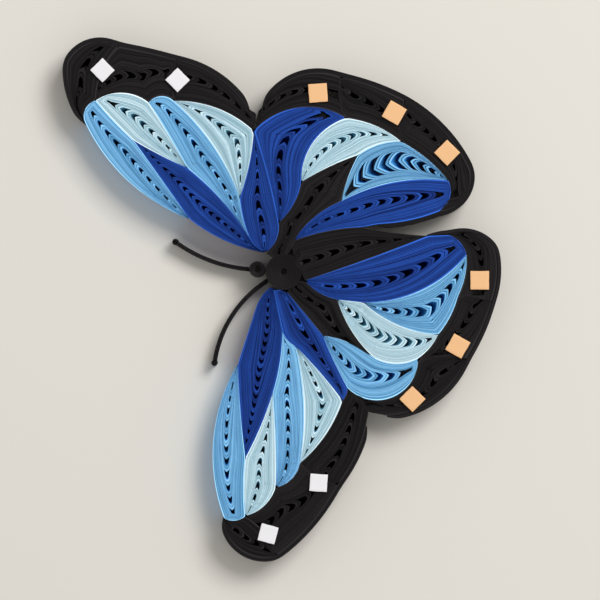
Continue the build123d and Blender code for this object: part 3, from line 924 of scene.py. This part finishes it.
# %% [markdown]
# A Mix node has sockets of the same name for numbers, vectors and colours, so its colour sockets are
# picked by their place in the list: inputs 6 and 7 take the two colours, and output 2 gives the result.

# %% Mix the colours and close the group
fibre_matt = 0.15  # added to the roughness where a fibre stands up
# the dye mixed with the painted highlight colour through the cut edge mask
dye_and_highlight = add_node(
    dyed_paper_with_highlight, "ShaderNodeMix", {0: cut_edge, 6: entry["Dye"], 7: entry["Painted highlight"]}, data_type="RGBA"
).outputs[2]
toned = add_node(
    dyed_paper_with_highlight, "ShaderNodeVectorMath", {"Vector": dye_and_highlight, "Scale": level}, operation="SCALE"
).outputs["Vector"]
matt = calculate(dyed_paper_with_highlight, "ADD", entry["Matt"], calculate(dyed_paper_with_highlight, "MULTIPLY", fibres, fibre_matt))
add_node(dyed_paper_with_highlight, "NodeGroupOutput", {"Color": toned, "Roughness": matt, "Height": fibres})
print("the group has", len(dyed_paper_with_highlight.nodes), "nodes")

# %% [markdown]
# ## Six colours of paper
# Every colour gets its own material, each with a lighter colour painted on its cut edges as a highlight.
# The pale and the sky blue get a much lighter colour painted on their cut edges, and the dark blue is
# deeper and more uneven. The black is the least matt. The squares are cut from heavier paper of an even
# shade. Colours are written as the eye sees them, from 0 to 255, and turned into the light's own scale.

# %% Mix the papers
fibre_height = 0.02 * mm
fibre_relief = 0.3  # the strength of the bump that the fibres make


def seen(red, green, blue):
    """A colour as the eye sees it, on the light's own scale."""
    channels = [c / 255 for c in (red, green, blue)]
    return (*[c / 12.92 if c <= 0.04045 else ((c + 0.055) / 1.055) ** 2.4 for c in channels], 1.0)


def mix_paper(name, dye, edge, highlight_share, spread, matt, shine):
    """A material of paper with a dye, and a lighter colour painted on its cut edges as a highlight."""
    material = bpy.data.materials.new(name)
    material.use_nodes = True
    tree = material.node_tree
    paper_look = add_node(
        tree,
        "ShaderNodeGroup",
        node_tree=dyed_paper_with_highlight,
        # the lighter colour and its share, painted on the cut edges as a highlight
        values={"Dye": dye, "Painted highlight": edge, "Painted highlight share": highlight_share, "Spread": spread, "Matt": matt},
    ).outputs
    relief = {"Strength": fibre_relief, "Distance": fibre_height}
    bump = add_node(tree, "ShaderNodeBump", {"Height": paper_look["Height"]}, relief)
    shader = tree.nodes["Principled BSDF"]
    shader.inputs["Specular IOR Level"].default_value = shine
    tree.links.new(paper_look["Color"], shader.inputs["Base Color"])
    tree.links.new(paper_look["Roughness"], shader.inputs["Roughness"])
    tree.links.new(bump.outputs["Normal"], shader.inputs["Normal"])
    return material


papers = {  # dye, painted highlight colour of the cut edge and its share, spread of shades, roughness, shine
    "pale_blue_paper": (seen(152, 207, 226), seen(228, 246, 252), 0.45, 0.26, 0.68, 0.2),
    "sky_blue_paper": (seen(72, 158, 219), seen(160, 216, 250), 0.4, 0.32, 0.66, 0.2),
    "dark_blue_paper": (seen(8, 41, 125), seen(46, 96, 188), 0.3, 0.55, 0.62, 0.15),
    "black_paper": (seen(12, 10, 11), seen(50, 46, 48), 0.25, 0.6, 0.5, 0.12),
    "white_paper": (seen(236, 234, 236), seen(248, 247, 248), 0.4, 0.05, 0.72, 0.3),
    "apricot_paper": (seen(234, 172, 112), seen(247, 200, 150), 0.7, 0.1, 0.72, 0.3),
}
papers = {name: mix_paper(name, *values) for name, values in papers.items()}
for node, piece in pieces.items():
    piece.data.materials.append(papers[slot_of[node]])
print("materials:", sorted(papers))

# %% [markdown]
# ## Floor, light and camera
# A plain pale floor lies a hair's breadth under the glued edges, because two faces in one plane would
# flicker, and it keeps the shadow. One large soft lamp stands up and to the right, so that the coils
# throw a short shadow down and to the left, and a white world fills the rest. The camera looks straight
# down, and the butterfly lies turned in the picture, with its head to the lower left.


# %% Lay the floor
def lay_floor(name, half_side, drop, colour):
    """A flat square floor."""
    bm = bmesh.new()
    bmesh.ops.create_grid(bm, x_segments=1, y_segments=1, size=half_side)
    bmesh.ops.translate(bm, verts=bm.verts, vec=(0, 0, -drop))
    mesh = bpy.data.meshes.new(name)
    bm.to_mesh(mesh)
    bm.free()
    material = bpy.data.materials.new(name)
    material.use_nodes = True
    shader = material.node_tree.nodes["Principled BSDF"]
    shader.inputs["Base Color"].default_value = colour
    shader.inputs["Roughness"].default_value = 0.9
    mesh.materials.append(material)
    floor = bpy.data.objects.new(name, mesh)
    bpy.context.scene.collection.objects.link(floor)
    floor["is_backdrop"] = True


lay_floor("pale_floor", half_side=0.6, drop=0.02 * mm, colour=seen(228, 223, 214))
print("floor laid")

# %% Light the butterfly
picture_turn = math.radians(20)  # from the picture's up, leftward, to the butterfly's right side
up = Vector((math.cos(picture_turn), -math.sin(picture_turn), 0))
right = Vector((-math.sin(picture_turn), -math.cos(picture_turn), 0))
toward_eye = Vector((0, 0, 1))


def hang_lamp(name, place, size, power):
    """A soft lamp that shines on the butterfly."""
    lamp = bpy.data.lights.new(name, "AREA")
    lamp.size = size
    lamp.energy = power
    holder = bpy.data.objects.new(name, lamp)
    holder.location = place
    holder.rotation_euler = (-place).to_track_quat("-Z", "Y").to_euler()
    bpy.context.scene.collection.objects.link(holder)


lamp_place = 0.22 * up + 0.2 * right + 0.36 * toward_eye
hang_lamp("soft_lamp", lamp_place, size=0.22, power=1.45)
world = bpy.data.worlds.new("white_room")
world.use_nodes = True
world.node_tree.nodes["Background"].inputs["Color"].default_value = (1, 1, 1, 1)
world.node_tree.nodes["Background"].inputs["Strength"].default_value = 0.5
bpy.context.scene.world = world
print("the light comes from the upper right")

# %% Set up the camera
camera_height = 0.4
seen_width = 50.8 * mm  # what the picture shows from side to side
seen_middle = (-3.56 * mm, -0.87 * mm)
camera = bpy.data.objects.new("camera", bpy.data.cameras.new("camera"))
camera.data.lens = camera.data.sensor_width * camera_height / seen_width
camera.location = (*seen_middle, strip_width + camera_height)
camera.rotation_euler = Matrix((right, up, toward_eye)).transposed().to_euler()
bpy.context.scene.collection.objects.link(camera)
bpy.context.scene.camera = camera
bpy.context.scene.view_settings.view_transform = "Standard"
print("lens: %.0f mm" % camera.data.lens)

# %% [markdown]
# ## Sizes
# The box of the imported butterfly and the box of the dressed one are both printed. The dressed
# butterfly must stay inside the box of the imported one.

# %% Print the sizes
boxes = {"frame": model_box, "dressed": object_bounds()}
boxes = {name: [list(corner) for corner in box] for name, box in boxes.items()}
print("pieces:", len(pieces), "faces:", sum(len(piece.data.polygons) for piece in pieces.values()))
print("boxes:", boxes)
